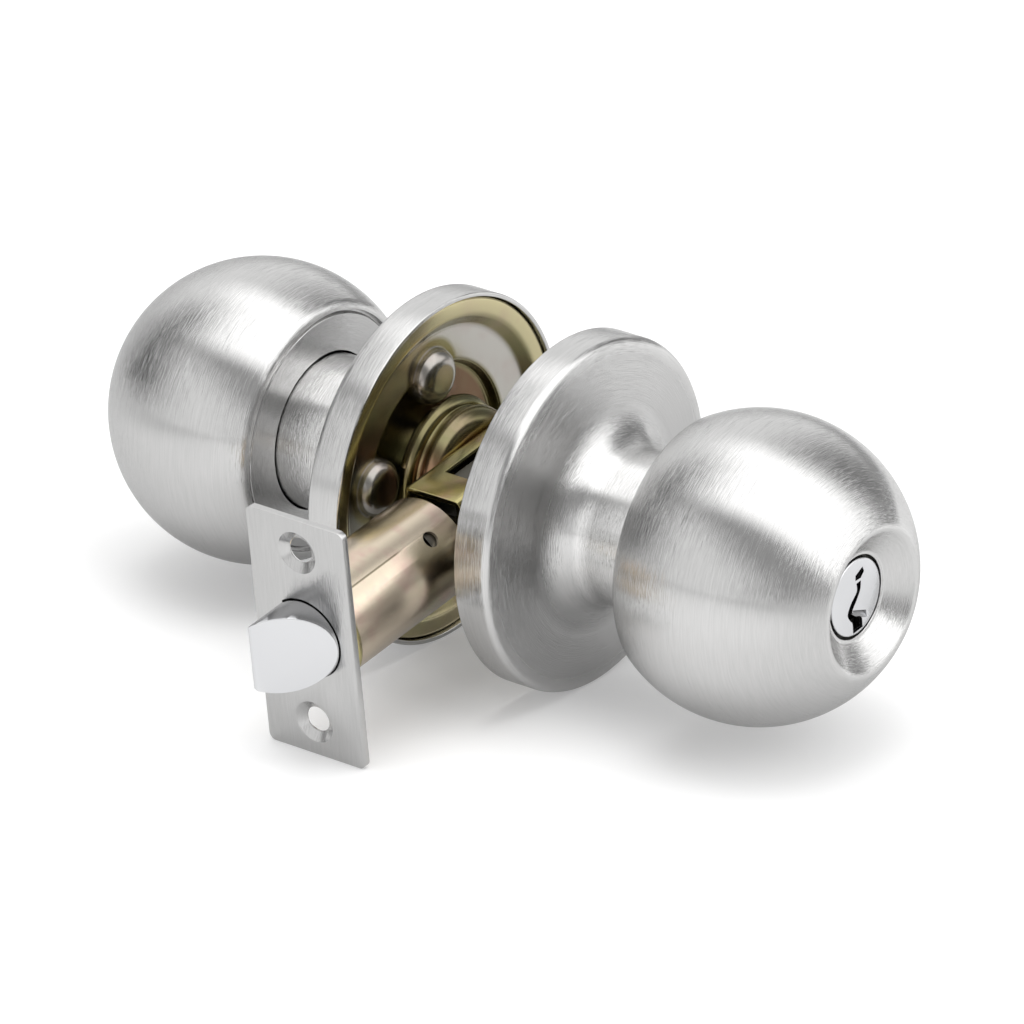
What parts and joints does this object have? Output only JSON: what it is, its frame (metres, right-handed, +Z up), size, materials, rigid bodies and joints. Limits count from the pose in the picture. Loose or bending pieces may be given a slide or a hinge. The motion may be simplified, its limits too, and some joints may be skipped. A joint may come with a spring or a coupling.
{
  "type": "cylindrical knob lockset",
  "caption": "Cylindrical lockset: satin ball knobs on flared round roses, a plated chassis between them, a keyed plug outside, a push button inside and a sprung latch behind a narrow faceplate.",
  "frame": {"origin": "where the knob axis crosses the latch axis, midway between the two rose rims", "axes": "+X along the knob axis to the keyed outside knob, -Y along the latch axis to the faceplate, +Z up"},
  "size_m": [0.1921, 0.121, 0.078],
  "materials": {
    "satin_steel": "satin stainless steel brushed round the knob axis",
    "yellow_zinc": "yellow zinc plated steel with an iridescent film",
    "pale_zinc": "pale zinc plated steel with a faint iridescent film",
    "satin_plate": "satin steel brushed along its length",
    "bright_chrome": "polished plating",
    "inner_steel": "plain zinc plated steel",
    "spring_steel": "drawn spring wire",
    "cylinder_brass": "machined brass"
  },
  "bodies": {
    "chassis": {"outside_rose": "satin_steel", "outside_rose_liner": "yellow_zinc", "outside_hub": "yellow_zinc", "inside_rose": "satin_steel", "inside_mounting_plate": "yellow_zinc", "inside_hub": "yellow_zinc", "chassis_frame": "yellow_zinc", "spring_keeper": "pale_zinc", "retractor_springs": "spring_steel", "latch_faceplate": "satin_plate", "latch_collar": "pale_zinc", "latch_tube": "pale_zinc", "tube_end_cap": "inner_steel", "bolt_spring": "spring_steel"},
    "retractor": {"retractor": "inner_steel"},
    "latch_bolt": {"latch_bolt": "bright_chrome", "latch_bar": "inner_steel", "latch_pin": "inner_steel"},
    "inside_knob": {"inside_knob_shell": "satin_steel", "inside_knob_back": "satin_steel", "inside_knob_sleeve": "inner_steel", "inside_knob_catch": "inner_steel", "inside_spindle": "inner_steel", "button_guide": "inner_steel", "button_spring": "spring_steel"},
    "push_button": {"push_button": "bright_chrome", "button_stem": "inner_steel"},
    "outside_knob": {"outside_knob_shell": "satin_steel", "outside_knob_back": "satin_steel", "outside_knob_sleeve": "inner_steel", "outside_knob_catch": "inner_steel", "outside_spindle": "inner_steel", "cylinder_body": "cylinder_brass", "driver_pins": "cylinder_brass", "pin_springs": "spring_steel", "pin_cover": "inner_steel"},
    "key_plug": {"cylinder_plug": "bright_chrome", "key_pins": "cylinder_brass", "plug_clip": "inner_steel", "tailpiece": "inner_steel"}
  },
  "joints": [
    {"name": "inside_knob_turn", "type": "hinge", "parent": "chassis", "child": "inside_knob", "pos_m": [0, 0, 0], "axis": [1, 0, 0], "range_deg": [0, 70], "stiffness_Nm_per_rad": 0.25},
    {"name": "retractor_slide", "type": "slide", "parent": "chassis", "child": "retractor", "axis": [0, 1, 0], "range_m": [0, 0.012], "deforming": ["retractor_springs"]},
    {"name": "latch_bolt_slide", "type": "slide", "parent": "chassis", "child": "latch_bolt", "axis": [0, 1, 0], "range_m": [0, 0.012], "deforming": ["bolt_spring"]},
    {"name": "outside_knob_turn", "type": "hinge", "parent": "chassis", "child": "outside_knob", "pos_m": [0, 0, 0], "axis": [1, 0, 0], "range_deg": [-70, 70], "stiffness_Nm_per_rad": 0.25},
    {"name": "key_plug_turn", "type": "hinge", "parent": "outside_knob", "child": "key_plug", "pos_m": [0.08, 0, 0], "axis": [1, 0, 0], "range_deg": [-90, 90]},
    {"name": "push_button_slide", "type": "slide", "parent": "inside_knob", "child": "push_button", "axis": [1, 0, 0], "range_m": [0, 0.004], "stiffness_N_per_m": 300, "deforming": ["button_spring"]}
  ],
  "couplings": [
    {"joint": "retractor_slide", "follows": "inside_knob_turn", "m_per_rad": 0.009822},
    {"joint": "latch_bolt_slide", "follows": "inside_knob_turn", "m_per_rad": 0.009822}
  ]
}
